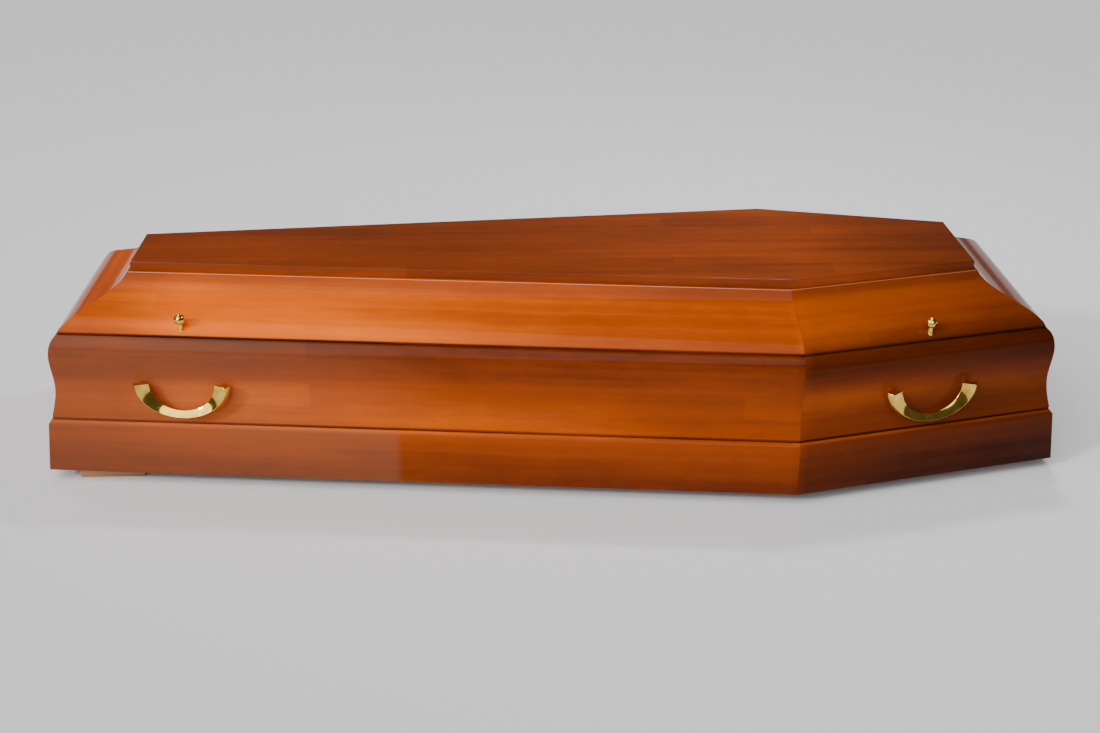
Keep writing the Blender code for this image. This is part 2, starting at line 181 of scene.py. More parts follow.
# The lid's flat board: its top darker and its eased edge lighter, painted shade on the top and
# painted light on the edge
LID_BOARD_TONES = ((0.395, 0.62), (0.399, 0.31))
# The tone that a low contrast draws all others towards
FLAT_TONE = 0.23

# The amber band of the lid's mouldings, as (height, share), and where along X it starts
AMBER_BAND = ((0.331, 0.0), (0.338, 1.0), (0.353, 1.0), (0.356, 0.0))
AMBER_START = -0.775
AMBER_EDGE = 0.006

# Where the browner part of a long board ends, and over what length it fades
PLINTH_BROWN = (-0.300, 0.016)
WALL_BROWN = (-0.20, 0.42)

# How the spraying and the painted shade change from foot to head: (place, contrast of the tones,
# shade of the mouldings, shade of the lid's flat board). The shades, darker at the shoulders and
# the head end, are partly darker lacquer and partly painted shade.
SPRAYING_AND_SHADE = (
    (-1.00, 0.50, 0.92, 0.70),
    (-0.85, 0.60, 0.95, 0.71),
    (-0.72, 1.00, 1.00, 0.72),
    (-0.40, 0.95, 1.00, 0.69),
    (-0.21, 0.76, 0.99, 0.68),
    (0.00, 0.58, 0.99, 0.78),
    (0.17, 0.50, 0.96, 0.90),
    (0.44, 0.46, 0.83, 0.92),
    (0.475, 1.00, 0.46, 0.85),
    (0.66, 0.95, 0.37, 0.58),
    (0.85, 0.80, 0.31, 0.40),
    (1.00, 0.70, 0.29, 0.36),
)


# The plan

def side_ends(side):
    index = SIDES.index(side)
    return OUTLINE[index], OUTLINE[(index + 1) % len(OUTLINE)]


def side_directions(side):
    start, end = side_ends(side)
    along = (end - start).normalized()
    return along, Vector((-along.y, along.x))


def mitre_bisector(corner_index):
    _, before = side_directions(SIDES[corner_index - 1])
    _, after = side_directions(SIDES[corner_index % len(SIDES)])
    return (before + after).normalized()


def plan_corners(inset):
    corners = []
    for index, corner in enumerate(OUTLINE):
        _, after = side_directions(SIDES[index])
        bisector = mitre_bisector(index)
        corners.append(corner + bisector * (inset / bisector.dot(after)))
    return corners


def place_on_side(mesh, side, station, inset, height):
    """Moves a mesh made about the origin to a side: +X along it, -Y out of it."""
    start, _ = side_ends(side)
    along, inward = side_directions(side)
    spot = start + along * station + inward * inset
    turn = Matrix.Rotation(math.atan2(along.y, along.x), 4, "Z")
    mesh.transform(Matrix.Translation((spot.x, spot.y, height)) @ turn)


# Sections of the boards, as (inset, height)

def ease_between(low, high, share):
    return low + (high - low) * (1.0 - math.cos(math.pi * share)) / 2.0


def plinth_section():
    points = [(PLINTH_THICKNESS, PLINTH_BOTTOM)]
    for step in range(5):
        turn = math.radians(90.0) * step / 4
        points.append((PLINTH_FOOT_ROUND * (1.0 - math.sin(turn)),
                       PLINTH_BOTTOM + PLINTH_FOOT_ROUND * (1.0 - math.cos(turn))))
    for step in range(11):
        turn = math.radians(90.0) * step / 10
        points.append((PLINTH_LEAN + PLINTH_NOSE_DEPTH * (1.0 - math.cos(turn)),
                       PLINTH_TOP - PLINTH_NOSE_HEIGHT * (1.0 - math.sin(turn))))
    points.append((PLINTH_THICKNESS, PLINTH_TOP))
    return points


def wall_face_inset(height):
    above = height - WALL_SEAT
    if above < COVE_HEIGHT:
        share = (above - TOE_HEIGHT) / (COVE_HEIGHT - TOE_HEIGHT)
        return WALL_TOE + COVE_DEPTH * math.sin(math.pi / 2 * share)
    share = (above - COVE_HEIGHT) / (BELLY_HEIGHT - COVE_HEIGHT)
    return WALL_TOE + ease_between(COVE_DEPTH, BELLY_DEPTH, share)


def wall_section():
    points = [
        (WALL_BACK, PLINTH_BOTTOM),
        (PLINTH_THICKNESS + CLEARANCE, PLINTH_BOTTOM),
        (PLINTH_THICKNESS + CLEARANCE, WALL_SEAT),
        (WALL_TOE + 0.002, WALL_SEAT),
    ]
    for step in range(48):
        height = WALL_SEAT + TOE_HEIGHT + (BELLY_HEIGHT - TOE_HEIGHT) * step / 48
        points.append((wall_face_inset(height), height))
    belly = WALL_TOE + BELLY_DEPTH
    for step in range(25):
        turn = math.radians(90.0) * step / 24
        points.append((WALL_RIM - (WALL_RIM - belly) * math.cos(turn),
                       WALL_SEAT + BELLY_HEIGHT + (WALL_HEIGHT - BELLY_HEIGHT) * math.sin(turn)))
    points.append((WALL_BACK, WALL_TOP))
    return points


def ogee_point(share):
    foot = Vector((WALL_RIM, LID_BOTTOM + LID_EDGE_HEIGHT))
    crest = Vector((LID_CREST, LID_SHELF))
    foot_pull = foot + Vector(OGEE_FOOT_PULL)
    crest_pull = crest - Vector(OGEE_TOP_PULL)
    rest = 1.0 - share
    return (foot * rest ** 3 + foot_pull * (3 * rest ** 2 * share)
            + crest_pull * (3 * rest * share ** 2) + crest * share ** 3)


def lid_section():
    points = [(WALL_BACK, LID_BOTTOM), (WALL_RIM, LID_BOTTOM)]
    for step in range(49):
        point = ogee_point(step / 48)
        points.append((point.x, point.y))
    points.append((LID_SHELF_BACK, LID_SHELF))
    points.append((LID_SHELF_BACK, LID_SHELF - LID_SHELF_THICKNESS))
    return points


def ogee_at_inset(inset):
    """The lid's height and slope at an inset."""
    low, high = 0.0, 1.0
    for _ in range(40):
        middle = (low + high) / 2
        if ogee_point(middle).x < inset:
            low = middle
        else:
            high = middle
    rise = ogee_point(low + 0.001) - ogee_point(low - 0.001)
    return ogee_point(low).y, math.atan2(rise.y, rise.x)


# Making pieces

def finish_piece(name, bm, material, sharp_angle=40.0):
    """Turns a bmesh into a piece that stands for the CAD node of the same name."""
    bmesh.ops.remove_doubles(bm, verts=bm.verts, dist=0.00001)
    bmesh.ops.recalc_face_normals(bm, faces=bm.faces)
    mesh = bpy.data.meshes.new(name)
    bm.to_mesh(mesh)
    bm.free()
    return dress_piece(name, mesh, material, sharp_angle)


def dress_piece(name, mesh, material, sharp_angle=40.0):
    mesh.shade_smooth()
    mesh.set_sharp_from_angle(angle=math.radians(sharp_angle))
    mesh.materials.clear()
    mesh.materials.append(material)
    piece = bpy.data.objects.new(name + "_finished", mesh)
    bpy.context.scene.collection.objects.link(piece)
    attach(piece, "root")
    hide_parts(name)
    return piece


def ease_sharp_edges(bm, width, segments=2, angle=28.0, run=None):
    """Rounds the sharp edges, or only those along the run, and marks the upward arrises that get a
    painted highlight.
    """
    limit = math.radians(angle)
    painted_edge_highlight = bm.faces.layers.float.get("painted_edge_highlight") or bm.faces.layers.float.new("painted_edge_highlight")
    sharp = []
    for edge in bm.edges:
        if len(edge.link_faces) != 2 or edge.calc_face_angle(0.0) <= limit:
            continue
        way = (edge.verts[1].co - edge.verts[0].co).normalized()
        if run is None or abs(way.xy.dot(run)) > 0.99:
            sharp.append(edge)
    made = bmesh.ops.bevel(bm, geom=sharp, offset=width, affect="EDGES", segments=segments,
                           profile=0.5, material=-1, clamp_overlap=True)
    for face in made["faces"]:
        face.normal_update()
        if face.normal.z > 0.5:
            face[painted_edge_highlight] = 1.0


def nearest_along(section, inset, height):
    """How far round the section, in metres, the point of it nearest to a spot lies."""
    best = None
    travelled = 0.0
    for (x0, z0), (x1, z1) in zip(section, section[1:] + section[:1]):
        span = math.hypot(x1 - x0, z1 - z0)
        share = ((inset - x0) * (x1 - x0) + (height - z0) * (z1 - z0)) / (span * span)
        share = min(max(share, 0.0), 1.0)
        miss = math.hypot(inset - x0 - (x1 - x0) * share, height - z0 - (z1 - z0) * share)
        if best is None or miss < best[0]:
            best = (miss, travelled + span * share)
        travelled += span
    return best[1]


def tone_at(tones, height):
    if height <= tones[0][0]:
        return tones[0][1]
    for (low, low_tone), (high, high_tone) in zip(tones, tones[1:]):
        if height <= high:
            return low_tone + (high_tone - low_tone) * (height - low) / (high - low)
    return tones[-1][1]


def lay_grain_on_board(bm, section, side, shift):
    """The grain map, with U along the board and V round its section."""
    start, _ = side_ends(side)
    along, inward = side_directions(side)
    places = {}
    for vert in bm.verts:
        flat = Vector((vert.co.x, vert.co.y)) - start
        across = nearest_along(section, flat.dot(inward), vert.co.z)
        places[vert] = (flat.dot(along) + shift, across)
    grain = bm.loops.layers.uv.new("grain")
    for face in bm.faces:
        for loop in face.loops:
            loop[grain].uv = places[loop.vert]


def spray_and_shade_board(bm, tones, amber=None, brown=None, flat=0.0):
    """How light the lacquer is, partly painted light and shade, how amber and brown it is, and
    whether the board is a flat one.
    """
    tone_layer = bm.verts.layers.float.new("tone")
    amber_layer = bm.verts.layers.float.new("amber")
    brown_layer = bm.verts.layers.float.new("brown")
    flat_layer = bm.verts.layers.float.new("flat")
    for vert in bm.verts:
        vert[tone_layer] = tone_at(tones, vert.co.z)
        vert[amber_layer] = tone_at(amber, vert.co.z) if amber else 0.0
        vert[brown_layer] = (brown[0] - vert.co.x) / brown[1] if brown else FLAT_BROWN_SHARE * flat
        vert[flat_layer] = flat


def mitred_board(name, section, tones, side, material, amber=None, brown=None):
    index = SIDES.index(side)
    start, end = side_ends(side)
    along, inward = side_directions(side)
    bm = bmesh.new()
    verts = []
    for inset, height in section:
        spot = start - along * BAR_OVERRUN + inward * inset
        verts.append(bm.verts.new((spot.x, spot.y, height)))
    face = bm.faces.new(verts)
    bar = bmesh.ops.extrude_face_region(bm, geom=[face])["geom"]
    run = along * ((end - start).length + 2 * BAR_OVERRUN)
    moved = [item for item in bar if isinstance(item, bmesh.types.BMVert)]
    bmesh.ops.translate(bm, verts=moved, vec=(run.x, run.y, 0.0))
    first = mitre_bisector(index)
    last = mitre_bisector(index + 1)
    cuts = (
        (start, Vector((-first.y, first.x, 0.0))),
        (end, Vector((last.y, -last.x, 0.0))),
    )
    for corner, outward in cuts:
        point = Vector((corner.x, corner.y, 0.0)) - outward * (CLEARANCE / 2)
        geometry = bm.verts[:] + bm.edges[:] + bm.faces[:]
        bmesh.ops.bisect_plane(bm, geom=geometry, plane_co=point, plane_no=outward,
                               clear_outer=True)
        rim = [edge for edge in bm.edges if edge.is_boundary]
        bmesh.ops.holes_fill(bm, edges=rim, sides=0)
    bmesh.ops.recalc_face_normals(bm, faces=bm.faces)
    ease_sharp_edges(bm, ARRIS, run=along)
    lay_grain_on_board(bm, section, side, shift=MITRED_GRAIN_STEP * index)
    spray_and_shade_board(bm, tones, amber, brown)
    return finish_piece(name, bm, material)


def flat_board(name, corners, bottom, top, edge, material, tones=None):
    """A flat board with eased edges, sprayed and given painted light and shade if it has tones;
    its grain runs along X.
    """
    bm = bmesh.new()
    verts = [bm.verts.new((corner.x, corner.y, bottom)) for corner in corners]
    face = bm.faces.new(verts)
    block = bmesh.ops.extrude_face_region(bm, geom=[face])["geom"]
    raised = [item for item in block if isinstance(item, bmesh.types.BMVert)]
    bmesh.ops.translate(bm, verts=raised, vec=(0.0, 0.0, top - bottom))
    bmesh.ops.recalc_face_normals(bm, faces=bm.faces)
    upper = [e for e in bm.edges if all(v in raised for v in e.verts)]
    bmesh.ops.bevel(bm, geom=upper, offset=edge, affect="EDGES", segments=6, profile=0.5,
                    material=-1)
    ease_sharp_edges(bm, ARRIS)
    if tones:
        spray_and_shade_board(bm, tones, flat=1.0)
    grain = bm.loops.layers.uv.new("grain")
    shift = FLAT_GRAIN_START[name]
    for face in bm.faces:
        for loop in face.loops:
            spot = loop.vert.co
            loop[grain].uv = (spot.x + shift, spot.y + spot.z)
    return finish_piece(name, bm, material)


def box_corners(name):
    low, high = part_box(name)
    return [Vector((low[0], low[1])), Vector((high[0], low[1])),
            Vector((high[0], high[1])), Vector((low[0], high[1]))]


def round_bar(radius, low, high, sides=40):
    bm = bmesh.new()
    bmesh.ops.create_cone(bm, cap_ends=True, segments=sides, radius1=radius, radius2=radius,
                          depth=high - low)
    bmesh.ops.translate(bm, verts=bm.verts, vec=(0.0, 0.0, (high + low) / 2))
    mesh = bpy.data.meshes.new("bar")
    bm.to_mesh(mesh)
    bm.free()
    return mesh


def melt_together(body_mesh, other_meshes):
    """One closed mesh of a casting and what is cast with it."""
    body = bpy.data.objects.new("casting", body_mesh)
    bpy.context.scene.collection.objects.link(body)
    others = []
    for mesh in other_meshes:
        other = bpy.data.objects.new("cast_with", mesh)
        bpy.context.scene.collection.objects.link(other)
        union = body.modifiers.new("join", "BOOLEAN")
        union.operation = "UNION"
        union.object = other
        others.append(other)
    graph = bpy.context.evaluated_depsgraph_get()
    joined = bpy.data.meshes.new_from_object(body.evaluated_get(graph))
    for used in [body] + others:
        bpy.data.objects.remove(used, do_unlink=True)
    return joined


def bow_mesh():
    outer = (BOW_WIDTH / 2, BOW_DROP)
    inner = (BOW_WIDTH / 2 - BOW_END_BREADTH, BOW_DROP - BOW_MIDDLE_BREADTH)
    section = (
        (0.0, 0.0),
        (0.0, BOW_LIP),
        (BOW_RIDGE_SHARE, BOW_END_DEPTH),
        (1.0, BOW_LIP),
        (1.0, 0.0),
    )
    bm = bmesh.new()
    verts = [bm.verts.new((1.0 + across, -depth, 0.0)) for across, depth in section]
    face = bm.faces.new(verts)
    bmesh.ops.spin(bm, geom=[face], cent=(0.0, 0.0, 0.0), axis=(0.0, 1.0, 0.0),
                   angle=math.radians(180.0), steps=72, use_merge=False)
    bmesh.ops.remove_doubles(bm, verts=bm.verts, dist=0.00001)
    for vert in bm.verts:
        turn = math.atan2(abs(vert.co.z), vert.co.x)
        across = math.hypot(vert.co.x, vert.co.z) - 1.0
        reach = inner[0] + (outer[0] - inner[0]) * across
        drop = (inner[1] + (outer[1] - inner[1]) * across) * math.sin(turn)
        thinning = 1.0 - (1.0 - BOW_MIDDLE_DEPTH / BOW_END_DEPTH) * math.sin(turn)
        vert.co.x = reach * math.cos(turn)
        vert.co.y = vert.co.y * thinning - BOW_STANDOFF - BOW_SWING * drop / BOW_DROP
        vert.co.z = -drop
    bmesh.ops.recalc_face_normals(bm, faces=bm.faces)
    ease_sharp_edges(bm, BRASS_EDGE, segments=3, angle=22.0)
    mesh = bpy.data.meshes.new("bow")
    bm.to_mesh(mesh)
    bm.free()
    return mesh


def handle_mesh():
    posts = []
    post_reach = BOW_WIDTH / 2 - BOW_END_BREADTH / 2
    for sign in (-1.0, 1.0):
        post = round_bar(POST_RADIUS, 0.0, BOW_STANDOFF + POST_ROOT)
        turn = Matrix.Rotation(math.radians(90.0), 4, "X")
        post.transform(Matrix.Translation((sign * post_reach, 0.0, -POST_BELOW_END)) @ turn)
        posts.append(post)
    return melt_together(bow_mesh(), posts)


def screw_profile():
    ball = SCREW_BALL_ABOVE_LID
    points = [(0.0, -SCREW_STEM_BELOW), (SCREW_FLARE_RADIUS, -SCREW_STEM_BELOW),
              (SCREW_FLARE_RADIUS, 0.0)]
    for step in range(1, 11):
        turn = math.radians(90.0) * step / 10
        spread = (SCREW_FLARE_RADIUS - SCREW_NECK_RADIUS) * (1.0 - math.sin(turn))
        points.append((SCREW_NECK_RADIUS + spread, SCREW_FLARE_HEIGHT * (1.0 - math.cos(turn))))
    low_turn = -math.acos(SCREW_NECK_RADIUS / SCREW_BALL_RADIUS)
    high_turn = math.acos(SCREW_NIB_RADIUS / SCREW_BALL_RADIUS)
    nib_foot = SCREW_BALL_HALF_HEIGHT * math.sin(high_turn)
    for step in range(29):
        turn = low_turn + (high_turn - low_turn) * step / 28
        points.append((SCREW_BALL_RADIUS * math.cos(turn),
                       ball + SCREW_BALL_HALF_HEIGHT * math.sin(turn)))
    for step in range(1, 9):
        turn = math.radians(90.0) * step / 8
        points.append((max(SCREW_NIB_RADIUS * math.cos(turn), 0.0),
                       ball + nib_foot + SCREW_NIB_HEIGHT * math.sin(turn)))
    return points


def press_dimples(bm):
    """Presses shallow round dimples into the ball, evenly round its waist."""
    for vert in bm.verts:
        rise = (vert.co.z - SCREW_BALL_ABOVE_LID) / SCREW_BALL_HALF_HEIGHT
        out = math.hypot(vert.co.x, vert.co.y)
        if abs(rise) > 0.85 or out < SCREW_BALL_RADIUS * 0.5:
            continue
        turn = math.atan2(vert.co.y, vert.co.x) * SCREW_DIMPLES / 2.0
        near = abs(math.cos(turn)) ** 1.5 * max(0.0, 1.0 - (rise / 0.8) ** 2)
        push = 1.0 - SCREW_DIMPLE_DEPTH * near / out
        vert.co.x *= push
        vert.co.y *= push


def screw_mesh():
    _, slope = ogee_at_inset(SCREW_INSET)
    bm = bmesh.new()
    profile = [bm.verts.new((radius, 0.0, height)) for radius, height in screw_profile()]
    edges = [bm.edges.new(pair) for pair in zip(profile, profile[1:])]
    bmesh.ops.spin(bm, geom=profile + edges, cent=(0.0, 0.0, 0.0), axis=(0.0, 0.0, 1.0),
                   angle=math.radians(360.0), steps=72, use_merge=True)
    bmesh.ops.remove_doubles(bm, verts=bm.verts, dist=0.00001)
    bmesh.ops.recalc_face_normals(bm, faces=bm.faces)
    press_dimples(bm)
    down_the_slope = Vector((0.0, math.sin(slope), -math.cos(slope)))
    bmesh.ops.bisect_plane(bm, geom=bm.verts[:] + bm.edges[:] + bm.faces[:],
                           plane_co=-down_the_slope * CLEARANCE, plane_no=down_the_slope,
                           clear_outer=True)
    bmesh.ops.holes_fill(bm, edges=[e for e in bm.edges if e.is_boundary], sides=0)
    mesh = bpy.data.meshes.new("screw")
    bm.to_mesh(mesh)
    bm.free()
    return mesh


# Shader helpers

def add_node(tree, kind, values=None, **settings):
    node = tree.nodes.new(kind)
    for key, value in settings.items():
        setattr(node, key, value)
    for key, value in (values or {}).items():
        if isinstance(value, bpy.types.NodeSocket):
            tree.links.new(value, node.inputs[key])
        else:
            node.inputs[key].default_value = value
    return node


def math_node(tree, operation, first, second=0.5, clamp=False):
    return add_node(tree, "ShaderNodeMath", {0: first, 1: second}, operation=operation,
                    use_clamp=clamp).outputs[0]


def mix_colours(tree, share, first, second, blend="MIX"):
    node = add_node(tree, "ShaderNodeMix", {0: share, 6: first, 7: second},
                    data_type="RGBA", blend_type=blend)
    return node.outputs[2]


def spread_between(tree, value, low, high, out_low=0.0, out_high=1.0):
    node = add_node(tree, "ShaderNodeMapRange",
                    {0: value, 1: low, 2: high, 3: out_low, 4: out_high})
    return node.outputs[0]


def stretched_noise(tree, place, scale, detail, roughness=0.55):
    """Noise drawn out along the board: scale is cycles per metre along, across and by seed."""
    mapped = add_node(tree, "ShaderNodeMapping", {"Vector": place, "Scale": scale})
    noise = add_node(tree, "ShaderNodeTexNoise",
                     {"Vector": mapped.outputs[0], "Scale": 1.0, "Detail": detail,
                      "Roughness": roughness})
    return noise.outputs[0]


def push_by(tree, tone, value, strength):
    """Adds a noise's swing about one half to the tone."""
    swing = math_node(tree, "SUBTRACT", value, 0.5)
    return math_node(tree, "ADD", tone, math_node(tree, "MULTIPLY", swing, strength))


def wood_grain_group():
    """Straight-grained boards glued up from staves: a colour and a height for bump."""
    group = bpy.data.node_groups.new("wood_grain", "ShaderNodeTree")
    sockets = group.interface
    sockets.new_socket("Place", in_out="INPUT", socket_type="NodeSocketVector")
    for name in ("Dark", "Middle", "Light"):
        sockets.new_socket(name, in_out="INPUT", socket_type="NodeSocketColor")
    for name in ("Tone", "Streaks", "Clouds", "Staves", "Figure"):
        sockets.new_socket(name, in_out="INPUT", socket_type="NodeSocketFloat")
    sockets.new_socket("Colour", in_out="OUTPUT", socket_type="NodeSocketColor")
    sockets.new_socket("Height", in_out="OUTPUT", socket_type="NodeSocketFloat")
    entry = group.nodes.new("NodeGroupInput")
    leave = group.nodes.new("NodeGroupOutput")
    place = entry.outputs["Place"]

    streaks = stretched_noise(group, place, (0.9, 34.0, 1.0), 4.0)
    fine = stretched_noise(group, place, (5.0, 380.0, 1.0), 3.0)
    clouds = stretched_noise(group, place, (2.2, 9.0, 1.0), 2.0)
    figure = stretched_noise(group, place, (24.0, 70.0, 1.0), 3.0)
    staves = add_node(group, "ShaderNodeTexBrick",
                      {"Vector": place, "Color1": (0, 0, 0, 1), "Color2": (1, 1, 1, 1),
                       "Scale": 1.0, "Mortar Size": 0.0, "Brick Width": STAVE_LENGTH,
                       "Row Height": STAVE_WIDTH, "Bias": 0.0})
    staves.offset = STAVE_STAGGER
    tone = push_by(group, entry.outputs["Tone"], streaks, entry.outputs["Streaks"])
    tone = push_by(group, tone, clouds, entry.outputs["Clouds"])
    tone = push_by(group, tone, staves.outputs[0], entry.outputs["Staves"])
    tone = push_by(group, tone, figure, entry.outputs["Figure"])
    tone = push_by(group, tone, fine, 0.05)
    lower = mix_colours(group, spread_between(group, tone, 0.0, 0.5),
                        entry.outputs["Dark"], entry.outputs["Middle"])
    colour = mix_colours(group, spread_between(group, tone, 0.5, 1.0),
                         lower, entry.outputs["Light"])
    group.links.new(colour, leave.inputs["Colour"])
    group.links.new(fine, leave.inputs["Height"])
    return group


def spraying_and_shade_along(tree):
    """How the spraying and the painted shade change along the coffin: contrast, both shades, the
    amber's start.
    """
    spot = add_node(tree, "ShaderNodeTexCoord").outputs["Object"]
    way = add_node(tree, "ShaderNodeSeparateXYZ", {0: spot}).outputs["X"]
    ramp = add_node(tree, "ShaderNodeValToRGB", {0: spread_between(tree, way, -1.0, 1.0)})
    stops = ramp.color_ramp.elements
    for index, (place, contrast, shade, board_shade) in enumerate(SPRAYING_AND_SHADE):
        stop = stops[index] if index < 2 else stops.new(1.0)
        stop.position = (place + 1.0) / 2.0
        stop.color = (contrast, shade, board_shade, 1.0)
    parts = add_node(tree, "ShaderNodeSeparateColor", {0: ramp.outputs[0]}).outputs
    after_start = spread_between(tree, way, AMBER_START, AMBER_START + AMBER_EDGE)
    return parts[0], parts[1], parts[2], after_start


def sprayed_and_shaded_colour(tree, wood):
    """Lays the tones, partly painted light and shade, then the amber band, the browner boards, the
    painted shade along the coffin and the painted highlight on the upward arrises.
    """
    def laid(name):
        return add_node(tree, "ShaderNodeAttribute", attribute_name=name).outputs["Fac"]

    contrast, shade, board_shade, after_start = spraying_and_shade_along(tree)
    swing = math_node(tree, "SUBTRACT", laid("tone"), FLAT_TONE)
    swing = math_node(tree, "MULTIPLY", swing, contrast)
    tree.links.new(math_node(tree, "ADD", swing, FLAT_TONE), wood.inputs["Tone"])
    colour = wood.outputs["Colour"]
    amber = math_node(tree, "MULTIPLY", laid("amber"), after_start)
    colour = mix_colours(tree, math_node(tree, "MULTIPLY", amber, AMBER_STRENGTH), colour,
                         AMBER_TINT, blend="MULTIPLY")
    brown = spread_between(tree, laid("brown"), 0.0, 1.0, 0.0, BROWN_STRENGTH)
    colour = mix_colours(tree, brown, colour, BROWN_TINT)
    # Painted shade: the mouldings and the flat board darken towards the shoulders and the head
    # end, partly darker lacquer
    shade = add_node(tree, "ShaderNodeMix", {0: laid("flat"), 2: shade, 3: board_shade})
    shade = shade.outputs[0]
    colour = mix_colours(tree, 1.0, colour, shade, blend="MULTIPLY")
    # A painted highlight on the upward arrises, dimmed where the shade is painted darker
    painted_highlight = math_node(tree, "MULTIPLY", laid("painted_edge_highlight"), shade)
    return mix_colours(tree, math_node(tree, "MULTIPLY", painted_highlight, PAINTED_HIGHLIGHT_STRENGTH), colour,
                       PAINTED_HIGHLIGHT_TINT)


def wood_material(name, grain, dark, middle, light, streaks, clouds, staves, figure):
    material = bpy.data.materials.new(name)
    material.use_nodes = True
    tree = material.node_tree
    place = add_node(tree, "ShaderNodeUVMap", uv_map="grain").outputs[0]
    wood = add_node(tree, "ShaderNodeGroup", node_tree=grain)
    tree.links.new(place, wood.inputs["Place"])
    wood.inputs["Dark"].default_value = (*dark, 1.0)
    wood.inputs["Middle"].default_value = (*middle, 1.0)
    wood.inputs["Light"].default_value = (*light, 1.0)
    wood.inputs["Tone"].default_value = 0.5
    wood.inputs["Streaks"].default_value = streaks
    wood.inputs["Clouds"].default_value = clouds
    wood.inputs["Staves"].default_value = staves
    wood.inputs["Figure"].default_value = figure
    return material, tree, tree.nodes["Principled BSDF"], wood


def lacquered_material(grain):
    material, tree, shader, wood = wood_material(
        "lacquered_wood", grain, dark=(0.050, 0.008, 0.004), middle=(0.38, 0.059, 0.003),
        light=(1.00, 0.180, 0.001), streaks=0.36, clouds=0.36, staves=0.09, figure=0.12)
    tree.links.new(sprayed_and_shaded_colour(tree, wood), shader.inputs["Base Color"])
    shader.inputs["Roughness"].default_value = 0.45
    shader.inputs["Specular IOR Level"].default_value = 0.0
    shader.inputs["Coat Weight"].default_value = 1.0
    shader.inputs["Coat Roughness"].default_value = 0.07
    shader.inputs["Coat IOR"].default_value = 1.18
    return material


def plain_material(grain):
    material, tree, shader, wood = wood_material(
        "plain_wood", grain, dark=(0.20, 0.09, 0.04), middle=(0.38, 0.19, 0.085),
        light=(0.55, 0.32, 0.16), streaks=0.9, clouds=0.5, staves=0.2, figure=0.05)
    tree.links.new(wood.outputs["Colour"], shader.inputs["Base Color"])
    shader.inputs["Roughness"].default_value = 0.55
    bump = add_node(tree, "ShaderNodeBump",
                    {"Strength": 0.25, "Distance": 0.0003, "Height": wood.outputs["Height"]})
    tree.links.new(bump.outputs[0], shader.inputs["Normal"])
    return material


def brass_material():
    material = bpy.data.materials.new("polished_brass")
    material.use_nodes = True
    tree = material.node_tree
    shader = tree.nodes["Principled BSDF"]
    place = add_node(tree, "ShaderNodeTexCoord").outputs["Object"]
    dulling = add_node(tree, "ShaderNodeTexNoise",
                       {"Vector": place, "Scale": 60.0, "Detail": 4.0}).outputs[0]
    colour = mix_colours(tree, spread_between(tree, dulling, 0.35, 0.75),
                         (0.93, 0.62, 0.11, 1.0), (0.62, 0.37, 0.06, 1.0))
    tree.links.new(colour, shader.inputs["Base Color"])
    tree.links.new(spread_between(tree, dulling, 0.3, 0.8, 0.05, 0.14),
                   shader.inputs["Roughness"])
    shader.inputs["Metallic"].default_value = 1.0
    return material


# The coffin

grain = wood_grain_group()
lacquered = lacquered_material(grain)
plain = plain_material(grain)
brass = brass_material()

for side in SIDES:
    long_side = side.endswith("_side")
    mitred_board("plinth_" + side, plinth_section(),
                 LONG_PLINTH_TONES if long_side else SHORT_PLINTH_TONES, side, lacquered,
                 brown=PLINTH_BROWN if long_side else None)
    mitred_board("wall_" + side, wall_section(),
                 LONG_WALL_TONES if long_side else SHORT_WALL_TONES, side, lacquered,
                 brown=WALL_BROWN if long_side else None)
    mitred_board("lid_" + side, lid_section(),
                 LONG_LID_TONES if long_side else SHORT_LID_TONES, side, lacquered,
                 amber=AMBER_BAND)
flat_board("lid_board", plan_corners(LID_BOARD_INSET), LID_BOARD_BOTTOM, LID_BOARD_TOP,
           LID_BOARD_EDGE, lacquered, LID_BOARD_TONES)
for name in ("runner_foot", "runner_head", "floor"):
    low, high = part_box(name)
    corners = box_corners(name)
    if name == "floor":
        corners = plan_corners(WALL_BACK + CLEARANCE)
    flat_board(name, corners, low[2], high[2], ARRIS, plain)

bow = handle_mesh()
screw = screw_mesh()
post_height = HANDLE_END_HEIGHT - POST_BELOW_END
seat = min(wall_face_inset(post_height - POST_RADIUS), wall_face_inset(post_height + POST_RADIUS))
lid_surface, _ = ogee_at_inset(SCREW_INSET)
for side, station in STATIONS.items():
    this_bow = bow.copy()
    place_on_side(this_bow, side, station, seat - CLEARANCE, HANDLE_END_HEIGHT)
    dress_piece("handle_" + side, this_bow, brass, sharp_angle=30.0)
    this_screw = screw.copy()
    place_on_side(this_screw, side, station, SCREW_INSET, lid_surface)
    dress_piece("screw_" + side, this_screw, brass, sharp_angle=50.0)

# Floor, light and camera

floor_bm = bmesh.new()
bmesh.ops.create_grid(floor_bm, x_segments=1, y_segments=1, size=30.0)
floor_mesh = bpy.data.meshes.new("studio_floor")
floor_bm.to_mesh(floor_mesh)
floor_bm.free()
floor_paint = bpy.data.materials.new("studio_floor")
floor_paint.use_nodes = True
floor_shader = floor_paint.node_tree.nodes["Principled BSDF"]
floor_shader.inputs["Base Color"].default_value = FLOOR_PAINT
floor_shader.inputs["Roughness"].default_value = 0.9
floor_shader.inputs["Specular IOR Level"].default_value = 0.1
floor_mesh.materials.append(floor_paint)
studio_floor = bpy.data.objects.new("studio_floor", floor_mesh)
bpy.context.scene.collection.objects.link(studio_floor)


def aim_lamp(name, light, place, target):
    lamp = bpy.data.objects.new(name, light)
    lamp.location = place
    aim = Vector(target) - Vector(place)
    lamp.rotation_euler = aim.to_track_quat("-Z", "Y").to_euler()
    bpy.context.scene.collection.objects.link(lamp)


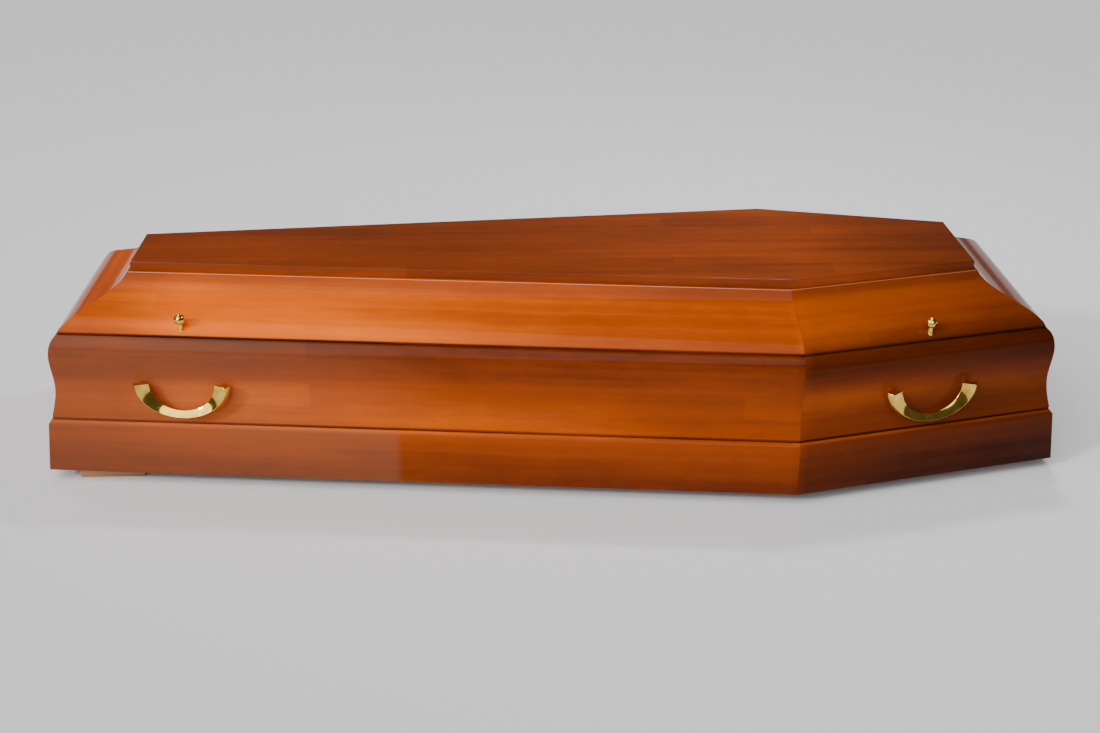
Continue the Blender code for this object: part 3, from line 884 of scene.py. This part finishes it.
def softbox(name, place, target, width, height, power, tint=(1.0, 1.0, 1.0)):
    light = bpy.data.lights.new(name, "AREA")
    light.color = tint
    light.shape = "RECTANGLE"
    light.size = width
    light.size_y = height
    light.energy = power
    aim_lamp(name, light, place, target)


def daylight(name, place, angle, strength):
    light = bpy.data.lights.new(name, "SUN")
    light.energy = strength
    light.angle = math.radians(angle)
    aim_lamp(name, light, place, (0.0, 0.0, 0.0))


# A broad key from the upper left front, a low lamp at the left, a pinkish one behind and a
# small one above the shoulder
daylight("key", (-2.2, -2.6, 3.6), 80.0, 3.35)
daylight("low_lamp", (-3.0, -1.6, 1.9), 7.0, 1.45)
softbox("lamp_behind", (-1.75, 1.2, 2.7), (-0.85, -0.25, 0.3), 0.65, 0.6, 12.0,
        (1.0, 0.74, 0.86))
softbox("lamp_right", (0.80, 0.9, 2.2), (0.4, 0.0, 0.3), 0.40, 0.07, 22.0)

world = bpy.data.worlds.new("studio")
world.use_nodes = True
world.node_tree.nodes["Background"].inputs["Color"].default_value = AMBIENT_TINT
world.node_tree.nodes["Background"].inputs["Strength"].default_value = AMBIENT_STRENGTH
bpy.context.scene.world = world

# The camera stands where the photograph was taken from
CAMERA_PLACE = (-0.1136, -2.4862, 1.4431)
CAMERA_DOWN = math.radians(28.0)
CAMERA_RIGHT = math.radians(2.509)
CAMERA_ROLL = math.radians(0.482)
IMAGE_WIDTH = 1100
FOCAL_PIXELS = 1329.9
SENSOR_WIDTH = 36.0

camera_data = bpy.data.cameras.new("photo_camera")
camera_data.sensor_width = SENSOR_WIDTH
camera_data.sensor_fit = "HORIZONTAL"
camera_data.lens = FOCAL_PIXELS / IMAGE_WIDTH * SENSOR_WIDTH
camera = bpy.data.objects.new("photo_camera", camera_data)
forward = Vector((math.sin(CAMERA_RIGHT) * math.cos(CAMERA_DOWN),
                  math.cos(CAMERA_RIGHT) * math.cos(CAMERA_DOWN), -math.sin(CAMERA_DOWN)))
level_right = Vector((math.cos(CAMERA_RIGHT), -math.sin(CAMERA_RIGHT), 0.0))
level_up = level_right.cross(forward)
right = level_right * math.cos(CAMERA_ROLL) + level_up * math.sin(CAMERA_ROLL)
up = -level_right * math.sin(CAMERA_ROLL) + level_up * math.cos(CAMERA_ROLL)
turn = Matrix((right, up, -forward)).transposed()
camera.matrix_world = Matrix.Translation(CAMERA_PLACE) @ turn.to_4x4()
bpy.context.scene.collection.objects.link(camera)
bpy.context.scene.camera = camera
